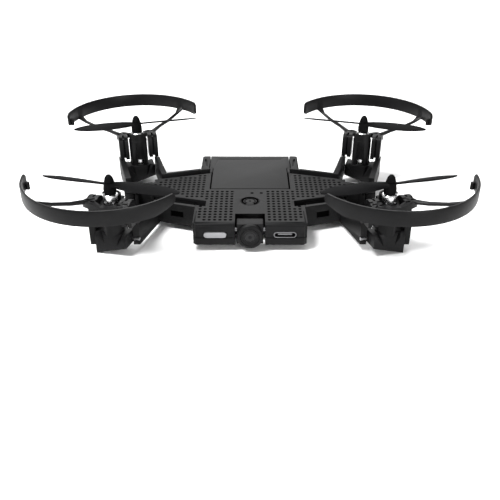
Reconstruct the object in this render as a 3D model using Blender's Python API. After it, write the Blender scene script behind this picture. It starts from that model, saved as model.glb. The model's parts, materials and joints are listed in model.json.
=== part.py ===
"""Mini palm drone: a flat slab with four forks, whose motor pods fold down into the slab.

Metres, +Z up. The drone's nose points to -Y, and the origin is on the floor below the middle of
the drone. Each corner repeats the one at +X +Y, mirrored, so its pieces share their meshes.
"""

from math import cos, pi, radians, sin, tan

import bmesh
import bpy
from mathutils import Matrix, Vector

MM = 0.001
GAP = 0.3

# The slab: body, wings and forks lie between these heights.
DECK = 12.3
FLOOR = 2.8
HALF_LENGTH = 35.3
BODY_HALF_WIDTH = 23.0
SEAM = 6.0
WALL = 1.2

# Motor corners, as distances from the middle, and the outward turn of each fork.
MOTOR_X = 54.2
MOTOR_Y = 34.3
YAW = radians(16.2)
CORNERS = {"rear_right": (1, 1), "rear_left": (-1, 1), "front_right": (1, -1), "front_left": (-1, -1)}

# Pod, in the corner's own frame: u runs to the side, v outwards, w up, from the motor axis.
HINGE_V = -2.25
HINGE_W = 5.25
PIN_RADIUS = 0.7
PIN_HOLE_RADIUS = 1.0
POD_DEPTH = 4.6
POD_WIDTH = 6.7
POD_BOTTOM = 1.95
POD_BLOCK_TOP = 9.3
TOWER_RADIUS = 4.3
TOWER_TOP = 21.6
COLLAR_TOP = 25.0
BAY_HALF = 7.1
PRONG_OUTER = 9.6

# Motor, propeller and guard.
MOTOR_RADIUS = 3.1
MOTOR_BOTTOM = 7.4
MOTOR_TOP = 25.3
SHAFT_RADIUS = 0.5
HUB_BOTTOM = 25.7
HUB_TOP = 30.0
PROP_HEIGHT = 29.2
BLADE_TIP = 28.9
BLADE_PITCH = radians(12.0)
SPINNER_TOP = 33.3
GUARD_OUTER = 32.6
GUARD_INNER = 31.5
GUARD_BOTTOM = 27.9
GUARD_TOP = 33.9
GUARD_SPAN = radians(73.5)
STRUT_ANGLE = radians(52.0)
LEG_INNER = 4.7
LEG_OUTER = 9.2
LEG_TOP = 23.8
YOKE_BOTTOM = 20.6

# Slot that takes the folded propeller, measured inwards from the pod's hinge.
SLOT_NEAR = 21.75
SLOT_FAR = 26.65
SLOT_END_X = 18.6
SLOT_FLOOR = 3.85
WING_TIP = 55.3

# Camera, battery, button and the ports in the nose.
NOTCH_HALF_WIDTH = 6.1
NOTCH_BACK = -26.3
CAMERA_PIVOT = (0.0, -31.1, 7.55)
CAMERA_HALF_WIDTH = 5.35
BARREL_RADIUS = 5.25
BARREL_Z = 7.0
BATTERY_FRONT = -2.0
BATTERY_HALF_WIDTH = 17.2
BATTERY_STEP = 20.6
BATTERY_REAR_HALF_WIDTH = 19.0
BATTERY_BOTTOM = 4.1
TAB_HALF_WIDTH = 23.0
BUTTON_Y = -14.6
BUTTON_RADIUS = 3.8
PORT_X = 14.1
PORT_Z = 7.1
PORT_WIDTH = 9.8
PORT_HEIGHT = 3.2
SCREWS = {"front_right": (20.2, -31.5), "front_left": (-20.2, -31.5), "rear_right": (21.2, 27.0),
          "rear_left": (-21.2, 27.0)}


def clear_scene():
    for item in list(bpy.data.objects):
        bpy.data.objects.remove(item, do_unlink=True)


def new_collection(name):
    made = bpy.data.collections.new(name)
    bpy.context.scene.collection.children.link(made)
    return made


def material(name, colour, roughness=0.5, metallic=0.0):
    made = bpy.data.materials.new(name)
    made.use_nodes = True
    shader = made.node_tree.nodes["Principled BSDF"]
    shader.inputs["Base Color"].default_value = (*colour, 1.0)
    shader.inputs["Roughness"].default_value = roughness
    shader.inputs["Metallic"].default_value = metallic
    return made


# ---- meshes, in millimetres until place() ----------------------------------------------------


def finished(mesh_editor):
    bmesh.ops.recalc_face_normals(mesh_editor, faces=mesh_editor.faces)
    mesh = bpy.data.meshes.new("shape")
    mesh_editor.to_mesh(mesh)
    mesh_editor.free()
    return mesh


def box(low, high):
    editor = bmesh.new()
    size = [b - a for a, b in zip(low, high)]
    middle = [(a + b) / 2 for a, b in zip(low, high)]
    bmesh.ops.create_cube(editor, matrix=Matrix.Translation(middle) @ Matrix.Diagonal((*size, 1.0)))
    return finished(editor)


def rod(start, end, radius, sides=20, end_radius=None):
    start, end = Vector(start), Vector(end)
    turn = (end - start).to_track_quat("Z", "Y").to_matrix().to_4x4()
    editor = bmesh.new()
    bmesh.ops.create_cone(
        editor,
        cap_ends=True,
        segments=sides,
        radius1=radius,
        radius2=radius if end_radius is None else end_radius,
        depth=(end - start).length,
        matrix=Matrix.Translation((start + end) / 2) @ turn,
    )
    return finished(editor)


def outline_solid(points, low, high):
    """A closed outline in plan, made solid between two heights."""
    editor = bmesh.new()
    base = [editor.verts.new((x, y, low)) for x, y in points]
    roof = [editor.verts.new((x, y, high)) for x, y in points]
    editor.faces.new(base[::-1])
    editor.faces.new(roof)
    for i in range(len(points)):
        j = (i + 1) % len(points)
        editor.faces.new((base[i], base[j], roof[j], roof[i]))
    return finished(editor)


def turned(profile, sides=32):
    """A solid of revolution about Z, from (radius, height) points that run down its outer side."""
    editor = bmesh.new()
    rim = [editor.verts.new((r, 0.0, z)) for r, z in profile]
    lines = [editor.edges.new(pair) for pair in zip(rim, rim[1:])]
    bmesh.ops.spin(
        editor,
        geom=rim + lines,
        axis=(0, 0, 1),
        cent=(0, 0, 0),
        angle=2 * pi,
        steps=sides,
        use_merge=True,
    )
    bmesh.ops.remove_doubles(editor, verts=editor.verts, dist=1e-4)
    return finished(editor)


def hull(points):
    editor = bmesh.new()
    corners = [editor.verts.new(p) for p in points]
    bmesh.ops.convex_hull(editor, input=corners)
    return finished(editor)


def pill(width, height, centre_x, centre_z, front, back, steps=8):
    """A flat-sided tube with round ends, running along Y."""
    radius = height / 2
    reach = width / 2 - radius
    ring = []
    for side in (1, -1):
        for step in range(steps + 1):
            angle = side * (-pi / 2) + pi * step / steps
            ring.append((side * reach + radius * cos(angle), radius * sin(angle)))
    mesh = outline_solid(ring, -(back - front) / 2, (back - front) / 2)
    stand = Matrix.Rotation(pi / 2, 4, "X")
    mesh.transform(Matrix.Translation((centre_x, (front + back) / 2, centre_z)) @ stand)
    return mesh


def moved(mesh, offset=(0, 0, 0), mirror=(1, 1, 1)):
    """A copy of the mesh, mirrored and moved, with its faces still pointing out."""
    copy = mesh.copy()
    copy.transform(Matrix.Translation(offset) @ Matrix.Diagonal((*mirror, 1.0)))
    if mirror[0] * mirror[1] * mirror[2] < 0:
        copy.flip_normals()
    return copy


def carve(base, add=(), cut=()):
    """The base mesh with every mesh in add joined to it and every one in cut taken away."""
    link = bpy.context.scene.collection.objects.link
    body = bpy.data.objects.new("body", base)
    link(body)
    helpers = []
    for operation, meshes in (("UNION", add), ("DIFFERENCE", cut)):
        for mesh in meshes:
            helper = bpy.data.objects.new("helper", mesh)
            link(helper)
            helpers.append(helper)
            step = body.modifiers.new(operation.lower(), "BOOLEAN")
            step.operation = operation
            step.object = helper
            step.solver = "EXACT"
    bpy.context.view_layer.update()
    result = bpy.data.meshes.new_from_object(body.evaluated_get(bpy.context.evaluated_depsgraph_get()))
    for item in [body, *helpers]:
        bpy.data.objects.remove(item)
    editor = bmesh.new()
    editor.from_mesh(result)
    bmesh.ops.remove_doubles(editor, verts=editor.verts, dist=2e-3)
    bmesh.ops.dissolve_degenerate(editor, edges=editor.edges, dist=2e-3)
    bmesh.ops.dissolve_limit(editor, angle_limit=radians(0.2), verts=editor.verts, edges=editor.edges)
    bmesh.ops.triangulate(editor, faces=editor.faces)
    return finished(editor)


def place(name, mesh, finish, parent=None, location=(0, 0, 0), smooth=False):
    """The finished piece: its mesh in metres about its own origin, which lies on its joint's axis."""
    made = mesh.copy()
    made.name = name
    made.transform(Matrix.Scale(MM, 4) @ Matrix.Translation(-Vector(location)))
    made.materials.clear()
    made.materials.append(finish)
    if smooth:
        made.shade_smooth()
        made.set_sharp_from_angle(angle=radians(35))
    piece = bpy.data.objects.new(name, made)
    piece.location = Vector(location) * MM
    piece.parent = parent
    drone.objects.link(piece)
    return piece


# ---- plan geometry ---------------------------------------------------------------------------


def from_hinge(u, inward):
    """The plan point that lies u along the pod's hinge and this far inwards from it."""
    v = HINGE_V - inward
    return (MOTOR_X + u * cos(YAW) + v * sin(YAW), MOTOR_Y - u * sin(YAW) + v * cos(YAW))


def at_x(x, inward):
    """The plan point at this x on the line that lies this far inwards from the hinge."""
    u = (x - MOTOR_X - (HINGE_V - inward) * sin(YAW)) / cos(YAW)
    return (x, from_hinge(u, inward)[1])


def flipped(points, x=1, y=1):
    turned_round = [(x * px, y * py) for px, py in points]
    return turned_round if x * y > 0 else turned_round[::-1]


def wing_half(x):
    return at_x(x, SLOT_FAR)[1]


# ---- body ------------------------------------------------------------------------------------


def slot_cutters(low, high):
    """The four propeller slots, where they run into the body."""
    shape = [(SLOT_END_X, SLOT_FAR), (32.0, SLOT_FAR), (32.0, SLOT_NEAR), (SLOT_END_X, SLOT_NEAR)]
    plan = [at_x(*point) for point in shape]
    return [outline_solid(flipped(plan, x, y), low, high) for x, y in CORNERS.values()]


def port_cutters():
    front, back = -HALF_LENGTH - 1, -HALF_LENGTH + 7
    return [pill(PORT_WIDTH, PORT_HEIGHT, side * PORT_X, PORT_Z, front, back) for side in (1, -1)]


def notch_cutter():
    return box((-NOTCH_HALF_WIDTH, -HALF_LENGTH - 1, -1), (NOTCH_HALF_WIDTH, NOTCH_BACK, DECK + 1))


def axle_cutter():
    _, y, z = CAMERA_PIVOT
    return rod((-8.3, y, z), (8.3, y, z), PIN_HOLE_RADIUS, 16)


def battery_cutter(low, high):
    rim, rear = BATTERY_HALF_WIDTH + GAP, BATTERY_REAR_HALF_WIDTH + GAP
    front, step, end = BATTERY_FRONT - GAP, BATTERY_STEP - GAP, HALF_LENGTH + 1
    half = [(rim, front), (rim, step), (rear, step), (rear, end)]
    return outline_solid([*half, *[(-x, y) for x, y in reversed(half)]], low, high)


def body_outline(front, back, corner=1.2):
    x = BODY_HALF_WIDTH
    half = [(x - corner, front), (x, front + corner), (x, back)]
    return [*half, *[(-px, py) for px, py in reversed(half)]]


def make_top_shell():
    roof = DECK - WALL
    base = outline_solid(body_outline(-HALF_LENGTH, 19.0), SEAM + GAP / 2, DECK)
    wings = []
    for side in (1, -1):
        tip = [(21.0, wing_half(21.0)), (WING_TIP, wing_half(WING_TIP))]
        plan = [*tip, *[(x, -y) for x, y in reversed(tip)]]
        wings.append(outline_solid(flipped(plan, side, 1), roof, DECK))
    hollows = [
        box((-17.6, -34.0, 0), (17.6, -27.6, roof)),
        box((-17.6, -28.0, 0), (17.6, BATTERY_FRONT - 1.5, roof)),
    ]
    nose = [
        box((-8.8, -34.5, SEAM + GAP / 2), (8.8, NOTCH_BACK + WALL, roof + 0.2)),
    ]
    cuts = [notch_cutter(), battery_cutter(0, DECK + 1), *port_cutters(), axle_cutter()]
    cuts.append(rod((0, BUTTON_Y, 5), (0, BUTTON_Y, 14), BUTTON_RADIUS + GAP, 32))
    for side in (1, -1):
        tail = [at_x(16.0, SLOT_FAR), at_x(25.0, SLOT_FAR), (25.0, 40.0), (16.0, 40.0)]
        cuts.append(outline_solid(flipped(tail, side, 1), 0, DECK + 1))
    for side in (1, -1):
        for end in (1, -1):
            pocket = [from_hinge(*p) for p in ((-3, 25), (3, 25), (3, 28.9), (-3, 28.9))]
            cuts.append(outline_solid(flipped(pocket, side, end), 0, DECK + 1))
    for x, y in list(SCREWS.values())[:2]:
        cuts.append(rod((x, y, 0), (x, y, 10.6), 0.8, 12))
    opened = carve(base, add=wings, cut=hollows)
    return carve(opened, add=nose, cut=[*cuts, *slot_cutters(SLOT_FLOOR, DECK + 1)])


def make_bottom_shell():
    floor = FLOOR + 1.0
    base = outline_solid(body_outline(-HALF_LENGTH, HALF_LENGTH), FLOOR, SEAM - GAP / 2)
    tabs = []
    for side in (1, -1):
        tab = [at_x(17.5, SLOT_FAR - 0.5), at_x(SLOT_END_X, SLOT_FAR - 0.5), at_x(SLOT_END_X, SLOT_NEAR)]
        tab += [at_x(TAB_HALF_WIDTH, SLOT_NEAR), (TAB_HALF_WIDTH, HALF_LENGTH - 1)]
        tab += [(TAB_HALF_WIDTH - 1, HALF_LENGTH), (16.0, HALF_LENGTH), (16.0, 21.0)]
        tabs.append(outline_solid(flipped(tab, side, 1), FLOOR, DECK))
    hollows = [box((-17.6, -34.0, floor), (17.6, BATTERY_FRONT - 1.5, 9))]
    nose = box((-8.8, -34.5, FLOOR), (8.8, NOTCH_BACK + WALL, SEAM - GAP / 2))
    cuts = [notch_cutter(), *port_cutters(), battery_cutter(floor, DECK + 1)]
    for x, y in list(SCREWS.values())[:2]:
        cuts.append(rod((x, y, 0), (x, y, 8), 0.8, 12))
        cuts.append(rod((x, y, 0), (x, y, floor + 0.2), 1.5, 16))
    for x, y in list(SCREWS.values())[2:]:
        cuts.append(rod((x, y, 0), (x, y, 10.6), 0.8, 12))
        cuts.append(rod((x, y, 0), (x, y, floor + 0.2), 1.5, 16))
    opened = carve(base, add=tabs, cut=hollows)
    return carve(opened, add=[nose], cut=[*cuts, *slot_cutters(SLOT_FLOOR, DECK + 1)])


def make_screw():
    head = rod((0, 0, FLOOR + 0.1), (0, 0, FLOOR + 0.9), 1.2, 16)
    shank = rod((0, 0, FLOOR + 0.6), (0, 0, 10.2), 0.5, 10)
    return carve(head, add=[shank])


def make_battery():
    front, step, end = BATTERY_FRONT, BATTERY_STEP, HALF_LENGTH
    half = [(BATTERY_HALF_WIDTH, front), (BATTERY_HALF_WIDTH, step)]
    half += [(BATTERY_REAR_HALF_WIDTH, step), (BATTERY_REAR_HALF_WIDTH, end)]
    pack = outline_solid([*half, *[(-x, y) for x, y in reversed(half)]], BATTERY_BOTTOM, DECK)
    line = box((-15.0, end - 4.0, DECK - 0.4), (15.0, end - 3.4, DECK + 1))
    return carve(pack, cut=[line])


def make_usb_port():
    front, back = -34.9, -29.2
    outer = pill(PORT_WIDTH - 2 * GAP, PORT_HEIGHT - 2 * GAP, PORT_X, PORT_Z, front, back)
    hole = pill(PORT_WIDTH - 1.3, PORT_HEIGHT - 1.3, PORT_X, PORT_Z, front - 1, back - 0.6)
    tongue = box((PORT_X - 2.8, front + 0.7, PORT_Z - 0.3), (PORT_X + 2.8, back - 0.2, PORT_Z + 0.3))
    return carve(carve(outer, cut=[hole]), add=[tongue])


def make_main_board():
    plate = box((-17.2, -33.6, 4.2), (17.2, -6.0, 5.2))
    chip = box((-6, -22, 5.1), (5, -18.5, 6.6))
    around = box((-9.2, -36.0, 1), (9.2, NOTCH_BACK + WALL + GAP, 8))
    return carve(plate, add=[chip], cut=[around])


def make_camera_block():
    x, (_, y, z) = CAMERA_HALF_WIDTH, CAMERA_PIVOT
    body = box((-x, -35.0, 3.1), (x, -29.8, 12.0))
    bore = rod((0, -40.0, BARREL_Z), (0, -32.6, BARREL_Z), 3.8, 24)
    axle = rod((-9, y, z), (9, y, z), PIN_HOLE_RADIUS, 16)
    return carve(body, cut=[bore, axle])


def about_y(profile, sides=24):
    """A solid turned about the barrel's axis: the profile's heights run forwards from the nose."""
    mesh = turned(profile, sides)
    place_at = Matrix.Translation((0, -HALF_LENGTH, BARREL_Z))
    mesh.transform(place_at @ Matrix.Rotation(pi / 2, 4, "X"))
    return mesh


def make_camera_barrel():
    rim = BARREL_RADIUS
    front = [(2.9, 1.8), (4.6, 1.8), (rim, 1.3), (rim, 0)]
    spigot = [(3.5, 0), (3.5, -2.2), (2.9, -2.2), (2.9, 1.8)]
    return about_y(front + spigot, 32)


def make_camera_lens():
    return about_y([(0, 1.4), (1.3, 1.2), (2.6, 0.6), (2.6, -2.2), (0, -2.2)])


def make_button():
    flange = BUTTON_RADIUS + 1.0
    cap = BUTTON_RADIUS
    profile = [(0, DECK), (cap, DECK), (cap, 10.8), (flange, 10.8), (flange, 10.2), (0, 10.2)]
    return moved(turned(profile), (0, BUTTON_Y, 0))


def make_power_switch():
    body = box((-1.6, BUTTON_Y - 1.6, 5.3), (1.6, BUTTON_Y + 1.6, 8.6))
    plunger = rod((0, BUTTON_Y, 8), (0, BUTTON_Y, 9.6), 0.9, 16)
    return carve(body, add=[plunger])


# ---- forks -----------------------------------------------------------------------------------


def make_fork():
    """One fork of the rear right: slot floor, prongs, panel wall and the neck under the wing's skin."""
    root = BODY_HALF_WIDTH + GAP
    neck = [(root, 0.15), (WING_TIP, 0.15), (WING_TIP, wing_half(WING_TIP)), (root, wing_half(root))]
    base = outline_solid(neck, FLOOR, DECK - WALL - GAP)
    corner = from_hinge(PRONG_OUTER - 0.3, SLOT_FAR + 0.5)
    floor = [at_x(root, SLOT_FAR + 0.5), corner, from_hinge(PRONG_OUTER - 0.3, SLOT_NEAR - 0.4)]
    floor.append(at_x(root, SLOT_NEAR - 0.4))
    prongs = [
        [from_hinge(a, SLOT_NEAR), from_hinge(b, SLOT_NEAR), from_hinge(b, -9), from_hinge(a, -9)]
        for a, b in ((-PRONG_OUTER, -BAY_HALF), (BAY_HALF, PRONG_OUTER))
    ]
    panel = [at_x(root, SLOT_NEAR - 0.1), from_hinge(-PRONG_OUTER + 1, SLOT_NEAR - 0.1)]
    panel += [from_hinge(-PRONG_OUTER + 1, SLOT_NEAR - 1.3), (root, 20.1)]
    pieces = [outline_solid(floor, FLOOR, SLOT_FLOOR), outline_solid(panel, FLOOR, DECK)]
    pieces += [outline_solid(plan, FLOOR, DECK) for plan in prongs]
    pocket = [from_hinge(*p) for p in ((-3, 25), (3, 25), (3, 28.9), (-3, 28.9))]
    ends = [(*from_hinge(u, 0), HINGE_W) for u in (-15.0, 15.0)]
    cuts = [
        outline_solid(pocket, SLOT_FLOOR, DECK + 1),
        rod(*ends, PIN_HOLE_RADIUS, 16),
        box((0, HALF_LENGTH - 0.3, -1), (90, 90, 20)),
    ]
    return carve(base, add=pieces, cut=cuts)


# ---- pod, motor, propeller and guard, in the corner's own frame -------------------------------


def pod_scoops():
    """V-shaped hollows beside the round fairing, on the pod's outer and inner faces."""
    cuts = []
    for side in (1, -1):
        for face in (1, -1):
            outer = [(side * 2.6, face * 5.6, 10.4), (side * 7.2, face * 5.6, 10.4)]
            top = outer + [(side * 5.2, face * 2.0, 10.4)]
            cuts.append(hull([*top, (side * 1.7, face * 5.2, 2.7)]))
    return cuts


def fairing_foot():
    """The fairing's half-round front, running down between the scoops."""
    return rod((0, 0, 4.0), (0, 0, POD_BLOCK_TOP + 0.5), TOWER_RADIUS, 32)


def make_pod():
    width, depth = POD_WIDTH, POD_DEPTH
    points = []
    for u in (-width, width):
        bottom = POD_BOTTOM - u * tan(YAW)
        points += [(u, -depth, bottom), (u, depth, bottom), (u, -depth, POD_BLOCK_TOP)]
        points += [(u, depth - 1.2, POD_BLOCK_TOP), (u, depth, POD_BLOCK_TOP - 2.1)]
    tower = rod((0, 0, POD_BLOCK_TOP - 1), (0, 0, TOWER_TOP), TOWER_RADIUS, 32)
    bore = rod((0, 0, MOTOR_BOTTOM - GAP), (0, 0, 40), MOTOR_RADIUS + GAP, 32)
    pin_hole = rod((-20, HINGE_V, HINGE_W), (20, HINGE_V, HINGE_W), PIN_HOLE_RADIUS, 16)
    window = box((-1.7, -6.0, 9.9), (1.7, -3.0, 12.6))
    block = carve(hull(points), cut=pod_scoops())
    collar = carve(
        rod((0, 0, TOWER_TOP - 1), (0, 0, COLLAR_TOP), TOWER_RADIUS - 0.2, 32),
        cut=[box((-6, -0.8, TOWER_TOP), (6, 6, 40))],
    )
    return carve(block, add=[tower, fairing_foot(), collar], cut=[bore, pin_hole, window])


def make_hinge_pin():
    return rod((-9.5, HINGE_V, HINGE_W), (9.5, HINGE_V, HINGE_W), PIN_RADIUS, 16)


def make_motor():
    r = MOTOR_RADIUS
    rim = [(0, MOTOR_TOP), (r - 0.5, MOTOR_TOP), (r, MOTOR_TOP - 0.5)]
    can = turned(rim + [(r, MOTOR_BOTTOM), (0, MOTOR_BOTTOM)], 24)
    bore = rod((0, 0, MOTOR_TOP - 2.2), (0, 0, 40), SHAFT_RADIUS + GAP, 12)
    return carve(can, cut=[bore])


def make_shaft():
    return rod((0, 0, MOTOR_TOP - 1.9), (0, 0, HUB_TOP - 1.0), SHAFT_RADIUS, 12)


def blade_chord(radius):
    share = (radius - 2) / (BLADE_TIP - 2)
    chord = 3.4 + 3.2 * sin(pi * share) ** 0.7 if 0 < share < 1 else 3.4
    return chord * (1 - 0.55 * max(0, (share - 0.8) / 0.2) ** 2)


def make_propeller():
    editor = bmesh.new()
    rings = []
    for radius in (1.4, 4, 7, 11, 15, 19, 23, 26, 28, BLADE_TIP):
        pitch = BLADE_PITCH * (1.35 - 0.6 * radius / BLADE_TIP)
        chord = blade_chord(radius)
        thick = 0.42 - 0.2 * radius / BLADE_TIP
        ring = []
        for across, up in ((-0.5, 0), (-0.2, 1), (0.25, 0.8), (0.5, 0), (0.25, -0.8), (-0.2, -1)):
            v, w = across * chord, up * thick
            spot = (radius, v * cos(pitch) - w * sin(pitch), PROP_HEIGHT + v * sin(pitch) + w * cos(pitch))
            ring.append(editor.verts.new(spot))
        rings.append(ring)
    for near, far in zip(rings, rings[1:]):
        for i in range(len(near)):
            j = (i + 1) % len(near)
            editor.faces.new((near[i], near[j], far[j], far[i]))
    editor.faces.new(rings[0][::-1])
    editor.faces.new(rings[-1])
    blade = finished(editor)
    other = moved(blade, mirror=(-1, -1, 1))
    hub = turned([(0, HUB_TOP), (2.1, HUB_TOP), (2.5, 27.6), (2.5, HUB_BOTTOM), (0, HUB_BOTTOM)], 24)
    bore = rod((0, 0, HUB_BOTTOM - 1), (0, 0, HUB_TOP - 0.7), SHAFT_RADIUS + 0.2, 12)
    return carve(hub, add=[blade, other], cut=[bore])


def make_spinner():
    base = HUB_TOP + GAP
    return turned([(0, SPINNER_TOP), (0.8, 33.0), (1.5, 32.0), (2.0, base), (0, base)], 24)


def beam(start, end, wide, tall):
    along = (end - start).normalized()
    across = along.cross(Vector((0, 0, 1))).normalized()
    up = across.cross(along)
    signs = [(a, b) for a in (-1, 1) for b in (-1, 1)]
    return hull([p + across * a * wide + up * b * tall for p in (start, end) for a, b in signs])


def make_guard():
    steps = 32
    ring = []
    for radius, order in ((GUARD_OUTER, 1), (GUARD_INNER, -1)):
        arc = [GUARD_SPAN * (2 * i / steps - 1) for i in range(steps + 1)][::order]
        ring += [(radius * sin(angle), radius * cos(angle)) for angle in arc]
    band = outline_solid(ring[::-1], GUARD_BOTTOM, GUARD_TOP)
    pieces = [box((-9.6, 4.9, YOKE_BOTTOM), (9.6, 7.2, LEG_TOP - 0.4))]
    for side in (1, -1):
        low, high = sorted((side * LEG_INNER, side * LEG_OUTER))
        pieces.append(box((low, -2.6, DECK + GAP), (high, 2.8, LEG_TOP)))
        pieces.append(box((low, 2.4, YOKE_BOTTOM), (high, 5.4, LEG_TOP - 0.2)))
        middle = Vector((side * 24.0 * sin(STRUT_ANGLE), 24.0 * cos(STRUT_ANGLE), 25.2))
        reach = (GUARD_OUTER + GUARD_INNER) / 2
        far = Vector((side * reach * sin(STRUT_ANGLE), reach * cos(STRUT_ANGLE), GUARD_BOTTOM + 0.7))
        pieces.append(beam(Vector((side * 7.6, 5.8, 22.2)), middle, 0.9, 0.7))
        pieces.append(beam(middle + (middle - far).normalized() * 1.0, far, 1.0, 0.6))
    end = GUARD_SPAN - radians(3.2)
    spot = Vector(((GUARD_INNER - 0.6) * sin(end), (GUARD_INNER - 0.6) * cos(end), 0))
    pieces.append(rod(spot + Vector((0, 0, 28.4)), spot + Vector((0, 0, 31.1)), 0.85, 12))
    return carve(band, add=pieces)


# ---- assembly --------------------------------------------------------------------------------


def corner_frame(name, x, y):
    """An empty on the motor axis, turned and mirrored so that +v points outwards."""
    frame = bpy.data.objects.new(name + "_corner", None)
    frame.location = Vector((x * MOTOR_X, y * MOTOR_Y, 0)) * MM
    frame.rotation_euler = (0, 0, -YAW * x * y)
    frame.scale = (x, y, 1)
    drone.objects.link(frame)
    return frame


clear_scene()
drone = new_collection("mini_palm_drone")

shell_black = material("shell_black", (0.012, 0.012, 0.013), 0.55)
frame_black = material("frame_black", (0.010, 0.010, 0.011), 0.5)
guard_black = material("guard_black", (0.014, 0.014, 0.015), 0.45)
prop_black = material("prop_black", (0.016, 0.016, 0.017), 0.35)
lens_dark = material("lens_dark", (0.02, 0.02, 0.022), 0.15)
light_grey = material("light_grey", (0.55, 0.55, 0.55), 0.3)
steel = material("steel", (0.55, 0.55, 0.56), 0.3, 1.0)
motor_silver = material("motor_silver", (0.7, 0.7, 0.71), 0.25, 1.0)
board_green = material("board_green", (0.01, 0.07, 0.03), 0.5)

place("top_shell", make_top_shell(), shell_black)
place("bottom_shell", make_bottom_shell(), shell_black)
place("battery_pack", make_battery(), shell_black, location=(0, BATTERY_FRONT, BATTERY_BOTTOM))
place("main_board", make_main_board(), board_green)
place("power_switch", make_power_switch(), frame_black)
place("usb_port", make_usb_port(), steel)
window = pill(PORT_WIDTH - 2 * GAP, PORT_HEIGHT - 2 * GAP, -PORT_X, PORT_Z, -35.2, -33.0)
place("light_window", window, light_grey)
place("power_button", make_button(), shell_black, location=(0, BUTTON_Y, DECK), smooth=True)
place("camera_block", make_camera_block(), shell_black, location=CAMERA_PIVOT)
place("camera_barrel", make_camera_barrel(), frame_black, location=CAMERA_PIVOT, smooth=True)
place("camera_lens", make_camera_lens(), lens_dark, location=CAMERA_PIVOT, smooth=True)
axle_y, axle_z = CAMERA_PIVOT[1:]
camera_axle = rod((-8.0, axle_y, axle_z), (8.0, axle_y, axle_z), PIN_RADIUS, 16)
place("camera_axle", camera_axle, steel, location=CAMERA_PIVOT, smooth=True)
for corner, (screw_x, screw_y) in SCREWS.items():
    place(f"{corner}_body_screw", moved(make_screw(), (screw_x, screw_y, 0)), steel)

fork_mesh = make_fork()
corner_parts = {
    "pod": (make_pod(), frame_black, (0, HINGE_V, HINGE_W)),
    "hinge_pin": (make_hinge_pin(), steel, (0, HINGE_V, HINGE_W)),
    "motor": (make_motor(), motor_silver, (0, HINGE_V, HINGE_W)),
    "motor_shaft": (make_shaft(), steel, (0, 0, PROP_HEIGHT)),
    "propeller": (make_propeller(), prop_black, (0, 0, PROP_HEIGHT)),
    "spinner": (make_spinner(), prop_black, (0, 0, PROP_HEIGHT)),
    "guard": (make_guard(), guard_black, (0, 0, DECK)),
}
for corner, (sign_x, sign_y) in CORNERS.items():
    place(f"{corner}_fork", moved(fork_mesh, mirror=(sign_x, sign_y, 1)), frame_black)
    holder = corner_frame(corner, sign_x, sign_y)
    for part, (shape, finish, axis_point) in corner_parts.items():
        place(f"{corner}_{part}", shape, finish, parent=holder, location=axis_point, smooth=True)
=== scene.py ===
"""Looks for the mini palm drone: bevelled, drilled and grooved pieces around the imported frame."""

import json
from math import cos, pi, radians, sin

import bmesh
import bpy
from mathutils import Matrix, Vector


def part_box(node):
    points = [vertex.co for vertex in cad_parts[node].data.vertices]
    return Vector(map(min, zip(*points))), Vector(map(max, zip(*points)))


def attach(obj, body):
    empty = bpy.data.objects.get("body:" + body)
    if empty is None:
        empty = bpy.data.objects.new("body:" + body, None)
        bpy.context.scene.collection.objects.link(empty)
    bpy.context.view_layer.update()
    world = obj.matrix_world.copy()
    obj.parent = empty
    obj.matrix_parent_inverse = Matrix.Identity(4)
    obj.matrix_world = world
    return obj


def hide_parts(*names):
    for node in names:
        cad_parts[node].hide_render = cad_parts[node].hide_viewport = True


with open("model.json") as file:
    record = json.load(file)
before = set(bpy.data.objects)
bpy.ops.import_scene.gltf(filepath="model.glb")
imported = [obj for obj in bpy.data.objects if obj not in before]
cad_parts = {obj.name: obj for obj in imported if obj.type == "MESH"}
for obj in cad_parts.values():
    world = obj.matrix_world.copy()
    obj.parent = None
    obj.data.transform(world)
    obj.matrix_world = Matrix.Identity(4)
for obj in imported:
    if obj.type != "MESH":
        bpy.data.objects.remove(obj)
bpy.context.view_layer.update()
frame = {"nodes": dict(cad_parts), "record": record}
MM = 0.001
# Everything below is in millimetres, apart from the stage, the lamps and the camera.
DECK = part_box("top_shell")[1][2] / MM
YAW = radians(16.2)
MOTOR_X, MOTOR_Y = 54.2, 34.3
NOSE_Y = -35.3
LENS_HEIGHT = 7.0
BUTTON_Y = -14.6
ABOVE = 12.8  # any height just over the deck, for cutters that come from above
CORNERS = {"rear_right": (1, 1), "rear_left": (-1, 1), "front_right": (1, -1), "front_left": (-1, -1)}


# ---- materials -------------------------------------------------------------------------------


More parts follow.
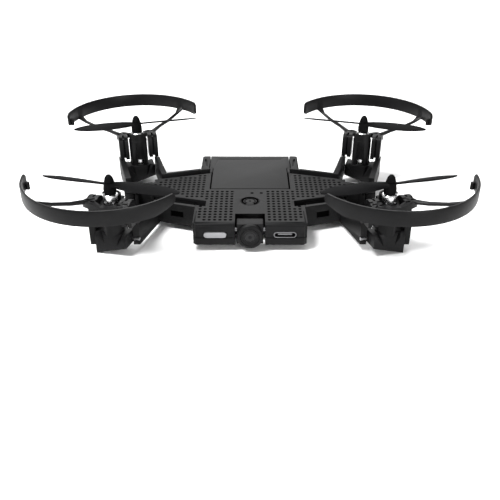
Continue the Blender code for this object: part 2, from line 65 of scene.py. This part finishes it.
def plastic(name, colour, rough, grain=2600.0, bump=0.12, mottle=0.25, metal=0.0, shine=0.22):
    """A moulded surface: fine grain, faint mottling in colour and in roughness."""
    made = bpy.data.materials.new(name)
    made.use_nodes = True
    tree = made.node_tree
    shader = tree.nodes["Principled BSDF"]
    shader.inputs["Metallic"].default_value = metal
    shader.inputs["Specular IOR Level"].default_value = shine
    place = tree.nodes.new("ShaderNodeTexCoord").outputs["Object"]

    def noise(scale, detail):
        node = tree.nodes.new("ShaderNodeTexNoise")
        node.inputs["Scale"].default_value = scale
        node.inputs["Detail"].default_value = detail
        tree.links.new(place, node.inputs["Vector"])
        return node.outputs["Fac"]

    broad = noise(90.0, 5.0)
    fine = noise(grain, 2.0)
    ramp = tree.nodes.new("ShaderNodeValToRGB")
    ramp.color_ramp.elements[0].position = 0.3
    ramp.color_ramp.elements[1].position = 0.7
    ramp.color_ramp.elements[0].color = (*[c * (1 - mottle) for c in colour], 1)
    ramp.color_ramp.elements[1].color = (*[min(1, c * (1 + mottle)) for c in colour], 1)
    tree.links.new(broad, ramp.inputs["Fac"])
    tree.links.new(ramp.outputs["Color"], shader.inputs["Base Color"])
    spread = tree.nodes.new("ShaderNodeMapRange")
    spread.inputs["To Min"].default_value = rough - 0.07
    spread.inputs["To Max"].default_value = rough + 0.07
    tree.links.new(fine, spread.inputs["Value"])
    tree.links.new(spread.outputs["Result"], shader.inputs["Roughness"])
    relief = tree.nodes.new("ShaderNodeBump")
    relief.inputs["Strength"].default_value = bump
    relief.inputs["Distance"].default_value = 0.00008
    tree.links.new(fine, relief.inputs["Height"])
    tree.links.new(relief.outputs["Normal"], shader.inputs["Normal"])
    return made


SHELL = plastic("shell_black", (0.0045, 0.0045, 0.0048), 0.52, shine=0.13)
PACK = plastic("pack_black", (0.005, 0.005, 0.0053), 0.60, grain=2200, shine=0.24)
FORK = plastic("fork_black", (0.0038, 0.0038, 0.004), 0.50, shine=0.13)
POD = plastic("pod_black", (0.004, 0.004, 0.0043), 0.46, shine=0.13)
GUARD = plastic("guard_black", (0.005, 0.005, 0.0053), 0.40, shine=0.13)
BLADE = plastic("blade_black", (0.0045, 0.0045, 0.0048), 0.50, bump=0.04, shine=0.02)
# Very dark matte finish for dark parts, and for the painted shade that fills the vent holes.
DARK = plastic("dark_parts_and_painted_shade", (0.0015, 0.0015, 0.0015), 0.9, shine=0.0)
LENS = plastic("lens_dark", (0.005, 0.005, 0.0055), 0.34, bump=0.01, shine=0.25)
LIGHT = plastic("window_frost", (0.29, 0.29, 0.30), 0.40, bump=0.05, mottle=0.06)
STEEL = plastic("steel", (0.36, 0.36, 0.37), 0.32, bump=0.05, mottle=0.1, metal=1.0, shine=0.5)
CAN = plastic("motor_can", (0.9, 0.9, 0.91), 0.25, bump=0.03, mottle=0.06, metal=1.0, shine=0.5)
PORT = plastic("port_metal", (0.16, 0.16, 0.165), 0.35, bump=0.04, mottle=0.1, metal=1.0, shine=0.5)
BOARD = plastic("board_green", (0.010, 0.07, 0.03), 0.45, mottle=0.4)
MARK = plastic("mark_black", (0.001, 0.001, 0.001), 0.8, shine=0.0)


# ---- geometry helpers, in millimetres -----------------------------------------------------------


def finished(editor):
    bmesh.ops.recalc_face_normals(editor, faces=editor.faces)
    mesh = bpy.data.meshes.new("shape")
    editor.to_mesh(mesh)
    editor.free()
    return mesh


def hull(points):
    editor = bmesh.new()
    corners = [editor.verts.new(p) for p in points]
    bmesh.ops.convex_hull(editor, input=corners)
    return finished(editor)


def box(low, high):
    (x0, y0, z0), (x1, y1, z1) = low, high
    return hull([(x, y, z) for x in (x0, x1) for y in (y0, y1) for z in (z0, z1)])


def between(first, second):
    """A solid between two matching outlines."""
    editor = bmesh.new()
    near = [editor.verts.new(p) for p in first]
    far = [editor.verts.new(p) for p in second]
    editor.faces.new(near[::-1])
    editor.faces.new(far)
    for i in range(len(near)):
        j = (i + 1) % len(near)
        editor.faces.new((near[i], near[j], far[j], far[i]))
    bmesh.ops.triangulate(editor, faces=editor.faces)
    return finished(editor)


def rods(ends, radius, sides=12):
    """Many separate rods in one mesh."""
    editor = bmesh.new()
    for start, end in ends:
        a, b = Vector(start), Vector(end)
        turn = (b - a).to_track_quat("Z", "Y").to_matrix().to_4x4()
        spot = Matrix.Translation((a + b) / 2) @ turn
        size = {"segments": sides, "radius1": radius, "radius2": radius, "depth": (b - a).length}
        bmesh.ops.create_cone(editor, cap_ends=True, matrix=spot, **size)
    return finished(editor)


def corner_matrix(x, y):
    place = Matrix.Translation((x * MOTOR_X, y * MOTOR_Y, 0))
    return place @ Matrix.Rotation(-YAW * x * y, 4, "Z") @ Matrix.Diagonal((x, y, 1, 1))


def put(mesh, matrix):
    """A transformed copy of a millimetre mesh, with its faces still pointing out."""
    copy = mesh.copy()
    copy.transform(matrix)
    if matrix.to_3x3().determinant() < 0:
        copy.flip_normals()
    return copy


def linked(name, mesh):
    made = bpy.data.objects.new(name, mesh)
    bpy.context.scene.collection.objects.link(made)
    return made


def rounded(mesh, width, segments=2):
    """The mesh with its sharp edges bevelled."""
    made = linked("rounded", mesh)
    edge = made.modifiers.new("bevel", "BEVEL")
    edge.width, edge.segments = width, segments
    edge.limit_method, edge.angle_limit = "ANGLE", radians(35)
    bpy.context.view_layer.update()
    graph = bpy.context.evaluated_depsgraph_get()
    result = bpy.data.meshes.new_from_object(made.evaluated_get(graph))
    bpy.data.objects.remove(made)
    return result


def piece(name, mesh, finish, body, smooth=30, bevel=0.0):
    """A finished piece from a millimetre mesh, riding on a body of the frame."""
    mesh.transform(Matrix.Scale(MM, 4))
    mesh.materials.clear()
    mesh.materials.append(finish)
    if bevel:
        mesh = rounded(mesh, bevel * MM)
    made = linked(name, mesh)
    made.data.shade_smooth()
    made.data.set_sharp_from_angle(angle=radians(smooth))
    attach(made, body)
    return made


def node_mesh(node):
    """The CAD node's mesh in millimetres, welded, with flat faces joined up again."""
    source = frame["nodes"][node]
    mesh = source.data.copy()
    mesh.transform(Matrix.Scale(1 / MM, 4) @ source.matrix_world)
    editor = bmesh.new()
    editor.from_mesh(mesh)
    bmesh.ops.remove_doubles(editor, verts=editor.verts, dist=0.004)
    bmesh.ops.dissolve_limit(editor, angle_limit=radians(1), verts=editor.verts, edges=editor.edges)
    return finished(editor)


def carve(base, cut=(), add=()):
    """The mesh with others joined to it, and then others cut from it."""
    body = linked("body", base)
    helpers = []
    for operation, meshes in (("UNION", add), ("DIFFERENCE", cut)):
        for mesh in meshes:
            helper = linked("helper", mesh)
            helpers.append(helper)
            step = body.modifiers.new(operation.lower(), "BOOLEAN")
            step.operation, step.object, step.solver = operation, helper, "EXACT"
    bpy.context.view_layer.update()
    graph = bpy.context.evaluated_depsgraph_get()
    result = bpy.data.meshes.new_from_object(body.evaluated_get(graph))
    for item in [body, *helpers]:
        bpy.data.objects.remove(item)
    return result


def dress(node, finish, cut=(), add=(), bevel=0.2, smooth=30, drill=()):
    """A bevelled piece in place of a CAD node. Drilled holes keep sharp rims."""
    mesh = node_mesh(node)
    if cut or add:
        mesh = carve(mesh, cut, add)
    if drill:
        mesh = carve(rounded(mesh, bevel), drill)
        bevel = 0.0
    made = piece(node + "_skin", mesh, finish, BODY_OF[node], smooth, bevel)
    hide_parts(node)
    return made


BODY_OF = {n: b for b, nodes in frame["record"]["behaviour"]["bodies"].items() for n in nodes}


def keep(node, finish):
    """A CAD node shown as it is, with a richer finish."""
    item = frame["nodes"][node]
    for slot in item.material_slots:
        slot.material = finish


# ---- body ------------------------------------------------------------------------------------


def wing_edge(x):
    """Half the wing's width at this distance from the middle."""
    return 6.57 + (46.1 - x) * sin(YAW) / cos(YAW)


def vent_spots():
    """Centres of the deck's grid of small holes, over the body and out along the wings."""
    pitch_x, pitch_y = 2.15, 2.4
    first_x, shift_y = 7.8, -0.4
    columns, rows_each_way = 24, 15
    spots = []
    for column in range(columns):
        x = first_x + pitch_x * column
        for row in range(-rows_each_way, rows_each_way + 1):
            y = pitch_y * row + shift_y
            on_body = x < 21 and -32.4 < y < -3.0
            on_wing = 18.6 < x < 53.5 and abs(y) < wing_edge(x) - 1.6
            on_slot = x > 17.5 and abs(abs(y) - 16.4 + (x - 18.6) * 0.29) < 3.4
            beside_lid = x < 19.0 and y > 0
            on_screw = abs(x - 20.2) < 1.5 and abs(y + 31.5) < 1.5
            near_spinner = 42 < x < 51 and abs(y) > wing_edge(x) - 3.4
            blocked = on_slot or beside_lid or on_screw or near_spinner
            if (on_body or on_wing) and not blocked:
                spots += [(side * x, y) for side in (1, -1)]
    return spots


VENTS = vent_spots()


def vent_rods(low, high, radius):
    """A rod at each hole, between two heights measured from the deck."""
    return rods([((x, y, DECK + low), (x, y, DECK + high)) for x, y in VENTS], radius, 12)


def prism_x(outline, reach):
    """A solid with this (y, z) outline, from -reach to reach across the drone."""
    return between([(-reach, y, z) for y, z in outline], [(reach, y, z) for y, z in outline])


def both_sides(low, high):
    """The same box on the drone's right and left."""
    right = box(low, high)
    return [right, put(right, Matrix.Diagonal((-1, 1, 1, 1)))]


# The brow rounds the nose's upper edge; the lines part the top panel from its frame and the lid.
BROW_RADIUS, BROW_Y, BROW_Z = 1.5, -33.8, 10.8
PAST_NOSE_Y, PAST_DECK_Z = -36.5, 13.5
PANEL_EDGE, PANEL_LINE = 21.95, 22.22
SEAM, LINE_FLOOR = 6.0, 12.05
LID_FRONT, LID_HALF, LID_STEP = -2.7, 17.85, 20.2

turns = [radians(90 + 15 * i) for i in range(7)]
brow_line = [(BROW_Y + BROW_RADIUS * cos(a), BROW_Z + BROW_RADIUS * sin(a)) for a in turns]
brow_line += [(PAST_NOSE_Y, BROW_Z), (PAST_NOSE_Y, PAST_DECK_Z), (BROW_Y, PAST_DECK_Z)]
brow = prism_x(brow_line, 24)
nose_lines = both_sides((PANEL_EDGE, -35.8, SEAM), (PANEL_LINE, -35.05, 11.0))
nose_lines += both_sides((PANEL_EDGE, -35.8, LINE_FLOOR), (PANEL_LINE, -24.0, ABOVE))
nose_lines.append(box((-PANEL_EDGE, -33.75, 12.02), (PANEL_EDGE, -33.45, ABOVE)))
lid_lines = both_sides((17.3, LID_FRONT, 11.4), (LID_HALF, LID_STEP, ABOVE))
lid_lines.append(box((-LID_HALF, LID_FRONT, 11.4), (LID_HALF, -2.15, ABOVE)))


def lamp_rods(low, high, radius):
    """A rod at each of the two indicator lamps in front of the lid."""
    y = -6.7
    return rods([((x, y, DECK + low), (x, y, DECK + high)) for x in (0.9, 4.9)], radius, 16)


holes = [vent_rods(-0.75, 1, 0.72), lamp_rods(-0.6, 1, 0.75)]
dress("top_shell", SHELL, cut=[brow], drill=[*holes, *nose_lines, *lid_lines], bevel=0.14)
# Painted shade: matte black rods fill each vent hole almost up to the deck, so the holes read black as
# shade would make them.
piece("vent_painted_shade", vent_rods(-0.74, -0.06, 0.70), DARK, "body")
piece("indicator_lamps", lamp_rods(-0.59, -0.05, 0.73), DARK, "body")
gaskets = (
    ((17.32, -2.65, 11.45), (17.8, 20.1, 12.15)),
    ((-17.8, -2.65, 11.45), (-17.32, 20.1, 12.15)),
    ((-17.3, -2.65, 11.45), (17.3, -2.2, 12.15)),
)
for number, (low, high) in enumerate(gaskets):
    piece(f"lid_gasket_{number}", box(low, high), DARK, "body")
slot_plan = ((20.0, 23.0), (20.9, 23.0), (22.0, 31.5), (21.1, 31.5))
slot_corners = [(x, y, z) for x, y in slot_plan for z in (11.5, 14)]
tab_slots = [put(hull(slot_corners), Matrix.Diagonal((side, 1, 1, 1))) for side in (1, -1)]
dress("bottom_shell", SHELL, cut=tab_slots, bevel=0.25)
dress("battery_pack", PACK, bevel=0.25)
dress("power_button", SHELL, bevel=0.12)
dress("camera_block", SHELL, bevel=0.3)
keep("main_board", BOARD)
keep("power_switch", DARK)
keep("usb_port", PORT)
keep("camera_axle", STEEL)
dress("light_window", LIGHT, bevel=0.2)


def about_y(profile, sides=48):
    """A solid turned about the barrel's axis, from (radius, distance in front of the nose) points."""
    editor = bmesh.new()
    rim = [editor.verts.new((r, 0.0, z)) for r, z in profile]
    lines = [editor.edges.new(pair) for pair in zip(rim, rim[1:])]
    turn = {"axis": (0, 0, 1), "cent": (0, 0, 0), "angle": 2 * pi, "steps": sides, "use_merge": True}
    bmesh.ops.spin(editor, geom=rim + lines, **turn)
    bmesh.ops.remove_doubles(editor, verts=editor.verts, dist=1e-4)
    mesh = finished(editor)
    mesh.transform(Matrix.Translation((0, NOSE_Y, LENS_HEIGHT)) @ Matrix.Rotation(pi / 2, 4, "X"))
    return mesh


barrel_line = [(2.6, 1.55), (3.5, 1.62), (3.6, 1.45), (3.8, 1.45), (3.9, 1.62)]
barrel_line += [(4.7, 1.6), (5.1, 1.35), (5.25, 1.0), (5.25, 0.0)]
barrel_line += [(3.5, 0.0), (3.5, -2.2), (2.6, -2.2), (2.6, 1.55)]
barrel = piece("camera_barrel_skin", about_y(barrel_line), FORK, "camera", smooth=40)
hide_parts("camera_barrel")
lens_line = [(0, 1.5), (1.0, 1.47), (1.9, 1.36), (2.0, 1.2), (2.2, 1.2)]
lens_line += [(2.3, 1.42), (2.55, 1.42), (2.55, -2.2), (0, -2.2)]
glass = piece("camera_lens_skin", about_y(lens_line), LENS, "camera", smooth=40)
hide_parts("camera_lens")


def band(points, radius, name, finish, body):
    """A raised line of paint through the points, as a rounded cord."""
    curve = bpy.data.curves.new(name, "CURVE")
    curve.dimensions = "3D"
    curve.bevel_depth = radius * MM
    curve.bevel_resolution = 2
    curve.use_fill_caps = True
    spline = curve.splines.new("POLY")
    spline.points.add(len(points) - 1)
    for spot, point in zip(spline.points, points):
        spot.co = (*[c * MM for c in point], 1)
    curve.materials.append(finish)
    made = linked(name, curve)
    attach(made, body)
    return made


ARC_START, ARC_SWEEP, ARC_STEPS = -58, 296, 32
symbol_arc = [radians(ARC_START + ARC_SWEEP * i / ARC_STEPS) for i in range(ARC_STEPS + 1)]
for name, radius, stroke in (("power_symbol_outer", 3.25, 0.42), ("power_symbol_inner", 2.2, 0.22)):
    symbol_line = [(radius * cos(a), BUTTON_Y + radius * sin(a), DECK - 0.08) for a in symbol_arc]
    band(symbol_line, stroke, name, MARK, "button")
centre = rods([((0, BUTTON_Y, DECK - 0.3), (0, BUTTON_Y, DECK + 0.06))], 0.45, 16)
piece("power_symbol_dot", centre, MARK, "button")
pupil = rods([((0, -36.5, LENS_HEIGHT), (0, -36.86, LENS_HEIGHT))], 0.7, 32)
piece("lens_pupil", pupil, POD, "camera")

# ---- corners ---------------------------------------------------------------------------------


def plan_point(u, v):
    """Where a point of the rear right corner lies in the drone's own plan."""
    return (MOTOR_X + u * cos(YAW) + v * sin(YAW), MOTOR_Y - u * sin(YAW) + v * cos(YAW))


def window_points(reach, depths, height):
    """Corners of the root wall's window, or of the dark grille behind it."""
    along = Vector((cos(YAW * 1.25), -sin(YAW * 1.25), 0))
    out = Vector((along.y, -along.x, 0)) * -1
    middle = Vector((31.0, 17.6, 7.6))
    return [
        middle + along * a + out * b + Vector((0, 0, c))
        for a in (-reach, reach)
        for b in depths
        for c in (-height, height)
    ]


def pod_cutters():
    """The tower's flat flanks and grooves, on the side that faces the body when folded out."""
    cuts = []
    for side in (1, -1):
        a, b = sorted((side * 3.8, side * 5.4))
        cuts.append(box((a, -5.8, 9.9), (b, 0.3, 20.4)))
        a, b = sorted((side * 1.15, side * 1.45))
        cuts.append(box((a, -4.8, 10.6), (b, -3.85, 19.4)))
    return cuts


def fork_cutters(x, y):
    """The window in the arm's root wall and the slots in the wing's side."""
    flip = Matrix.Diagonal((x, y, 1, 1))
    cuts = [put(hull(window_points(2.9, (-0.9, 3.5), 1.4)), flip)]
    half_slot = 0.35
    for u in (-13.5, -12.0, -10.5, -4.9, 4.9):
        plan = [plan_point(u + du, v) for du in (-half_slot, half_slot) for v in (-29.9, -27.0)]
        cuts.append(put(hull([(px, py, z) for px, py in plan for z in (4.6, 13)]), flip))
    return cuts


# ---- guard -----------------------------------------------------------------------------------

SPAN = radians(73.5)  # from the ring's middle to either end
REACH_IN, REACH_OUT = 31.45, 32.55
RING_LOW, RING_HIGH = 27.95, 33.85
RING_STEPS = 96
END_ROUND, END_SHARE = 1.2, 0.78
TAPER_LENGTH = 9.5
STRUT_AT = radians(52.0)
YOKE_LOW, YOKE_TOP, BRIDGE_TOP = 20.9, 23.3, 22.4


def ring_solid(rise):
    """The ring, a thin tall band with rounded ends; one end's lower edge rises by twice this."""
    editor = bmesh.new()
    tall = (RING_HIGH - RING_LOW) / 2
    rows = []
    for i in range(RING_STEPS + 1):
        angle = SPAN * (2 * i / RING_STEPS - 1)
        left = min(1.0, (SPAN - abs(angle)) * 32 / END_ROUND)
        tip = rise * max(0.0, 1 - (angle + SPAN) * 32 / TAPER_LENGTH)
        half = tall * (END_SHARE + (1 - END_SHARE) * (1 - (1 - left) ** 2) ** 0.5) - tip
        middle = (RING_HIGH + RING_LOW) / 2 + tip
        low, high = middle - half, middle + half
        section = (
            (REACH_IN + 0.1, low),
            (REACH_IN, low + 0.5),
            (REACH_IN, high - 0.5),
            (REACH_IN + 0.25, high),
            (REACH_OUT - 0.25, high),
            (REACH_OUT, high - 0.5),
            (REACH_OUT, low + 0.5),
            (REACH_OUT - 0.1, low),
        )
        rows.append([editor.verts.new((r * sin(angle), r * cos(angle), z)) for r, z in section])
    for near, far in zip(rows, rows[1:]):
        for i in range(len(near)):
            j = (i + 1) % len(near)
            editor.faces.new((near[i], near[j], far[j], far[i]))
    editor.faces.new(rows[0][::-1])
    editor.faces.new(rows[-1])
    return finished(editor)


# The struts' cross-section, as shares of their half width and half height.
STRUT_SECTION = ((-1, -0.4), (-1, 0.4), (-0.5, 1), (0.5, 1), (1, 0.4), (1, -0.4), (0.5, -1), (-0.5, -1))


def tapered(stations):
    """Overlapping hulls along (point, half width, half height) stations."""
    parts = []
    for (a, wide_a, tall_a), (b, wide_b, tall_b) in zip(stations, stations[1:]):
        along = (b - a).normalized()
        across = along.cross(Vector((0, 0, 1))).normalized()
        up = across.cross(along)
        points = []
        for spot, wide, tall in ((a, wide_a, tall_a), (b, wide_b, tall_b)):
            spot = spot + along * (0.15 if spot is b else -0.15)
            for x, z in STRUT_SECTION:
                points.append(spot + across * x * wide + up * z * tall)
        parts.append(hull(points))
    return parts


def strut(side):
    """A strut from the yoke out to the ring, widening into a foot."""

    def at(radius, height):
        return Vector((radius * sin(side * STRUT_AT), radius * cos(side * STRUT_AT), height))

    return tapered(
        [
            (Vector((side * 6.8, 1.8, 22.7)), 1.5, 0.9),
            (Vector((side * 8.4, 5.2, 22.9)), 1.15, 0.85),
            (at(15.5, 23.6), 0.75, 0.75),
            (at(22.5, 24.7), 0.65, 0.7),
            (at(28.6, 26.5), 0.8, 0.6),
            (at(31.9, 28.6), 2.0, 0.7),
        ]
    )


def yoke(side):
    """One half of the plate that links the legs round the motor's tower; the bridge is lower."""
    outline = [(4.75, 2.4), (9.15, 2.4), (9.6, 4.0), (9.3, 5.8), (6.0, 7.15), (1.9, 7.15)]
    outline = [(side * u, v) for u, v in [*outline, (1.9, 5.0), (4.75, 4.4)]]
    top = [(u, v, YOKE_TOP if abs(u) > 2 else BRIDGE_TOP) for u, v in outline]
    return between([(u, v, YOKE_LOW) for u, v in outline], top)


def leg_side(low, high):
    """One of a leg's two cheeks, between two distances along the corner."""
    edge = []
    for u in (low, high):
        edge += [(u, -2.55, 12.65), (u, 2.75, 12.65), (u, -2.55, 21.6), (u, 2.75, 22.9)]
        edge += [(u, -1.7, 23.1), (u, 0.1, 23.75), (u, 1.8, 23.6)]
    return hull(edge)


def guard_pieces():
    """The struts, legs, yoke and end tab, as separate solids to be joined to the ring."""
    parts = []
    for side in (1, -1):
        parts += strut(side)
        for low, high in ((4.75, 6.5), (7.35, 9.15)):
            parts.append(leg_side(*sorted((side * low, side * high))))
        a, b = sorted((side * 6.0, side * 7.9))
        parts.append(box((a, -1.7, 13.2), (b, 2.0, 22.6)))
        parts.append(yoke(side))
    parts.append(box((-2.4, 5.0, YOKE_LOW), (2.4, 7.1, 22.3)))
    end = SPAN - radians(3.2)
    tab = Vector((30.9 * sin(end), 30.9 * cos(end), 29.35))
    parts.append(rods([(tab - Vector((0, 0, 1.3)), tab + Vector((0, 0, 1.5)))], 0.85, 16))
    return parts


def guard_slots():
    """Shallow slots in the yoke's top."""
    long, wide = 0.9, 0.45
    cuts = []
    for side in (1, -1):
        for u, v in ((5.6, 4.9), (8.1, 4.3)):
            a, b = sorted((side * (u - long), side * (u + long)))
            cuts.append(box((a, v - wide, 22.3), (b, v + wide, 25)))
    return cuts


GUARD_MESH = {
    end: carve(rounded(carve(ring_solid(rise), (), guard_pieces()), 0.12, 1), guard_slots())
    for end, rise in (("front", 1.1), ("rear", 0.0))
}

for corner, (x, y) in CORNERS.items():
    matrix = corner_matrix(x, y)
    flip = Matrix.Diagonal((x, y, 1, 1))
    clip = f"{corner}_guard_clip"
    # The filler closes the gap between the fork's root and the body.
    filler = put(box((23.03, 18.4, 3.0), (24.2, 19.9, 12.1)), flip)
    dress(f"{corner}_fork", FORK, cut=fork_cutters(x, y), add=[filler], bevel=0.2)
    dress(f"{corner}_pod", POD, cut=[put(cut, matrix) for cut in pod_cutters()], bevel=0.25, smooth=35)
    grille = put(hull(window_points(2.8, (-0.85, -0.45), 1.3)), flip)
    piece(f"{corner}_grille", grille, DARK, BODY_OF[f"{corner}_fork"])
    guard = piece(f"{corner}_guard_skin", put(GUARD_MESH[corner.split("_")[0]], matrix), GUARD, clip)
    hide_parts(f"{corner}_guard")
    dress(f"{corner}_motor", CAN, bevel=0.1)
    dress(f"{corner}_propeller", BLADE, bevel=0.0, smooth=50)
    dress(f"{corner}_spinner", BLADE, bevel=0.15, smooth=50)
    keep(f"{corner}_motor_shaft", STEEL)
    keep(f"{corner}_hinge_pin", STEEL)
    keep(f"{corner}_body_screw", STEEL)

# ---- stage, light and camera -------------------------------------------------------------------

floor_mesh = bpy.data.meshes.new("floor")
half = 4.0
floor_corners = [(-half, -half, 0), (half, -half, 0), (half, half, 0), (-half, half, 0)]
floor_mesh.from_pydata(floor_corners, [], [(0, 1, 2, 3)])
floor = linked("floor", floor_mesh)
paper = bpy.data.materials.new("pale_floor")
paper.use_nodes = True
paper_shader = paper.node_tree.nodes["Principled BSDF"]
paper_shader.inputs["Base Color"].default_value = (0.9, 0.9, 0.9, 1)
paper_shader.inputs["Roughness"].default_value = 0.9
floor_mesh.materials.append(paper)

world = bpy.data.worlds.new("studio")
bpy.context.scene.world = world
world.use_nodes = True
sky = world.node_tree.nodes["Background"]
sky.inputs["Color"].default_value = (1, 1, 1, 1)
sky.inputs["Strength"].default_value = 0.5


def softbox(name, spot, size, watts):
    """A round area lamp that faces the drone."""
    lamp = bpy.data.lights.new(name, "AREA")
    lamp.shape, lamp.size, lamp.energy = "DISK", size, watts
    made = linked(name, lamp)
    made.location = spot
    made.rotation_euler = (Vector((0, 0, 0.01)) - Vector(spot)).to_track_quat("-Z", "Y").to_euler()


softbox("key", (-0.35, -0.15, 0.75), 0.35, 12.0)
softbox("back", (0.0, 0.85, 0.75), 1.0, 8.0)
softbox("front", (0.45, -0.8, 0.3), 0.35, 3.2)

lens = bpy.data.cameras.new("camera")
lens.lens, lens.sensor_width = 46.4, 36.0
lens.clip_start, lens.clip_end = 0.005, 50
viewer = linked("camera", lens)
viewer.location = (0, -0.2610, 0.1333)
viewer.rotation_euler = (radians(90 - 30.5), 0, 0)
bpy.context.scene.camera = viewer
bpy.context.scene.view_settings.view_transform = "Standard"
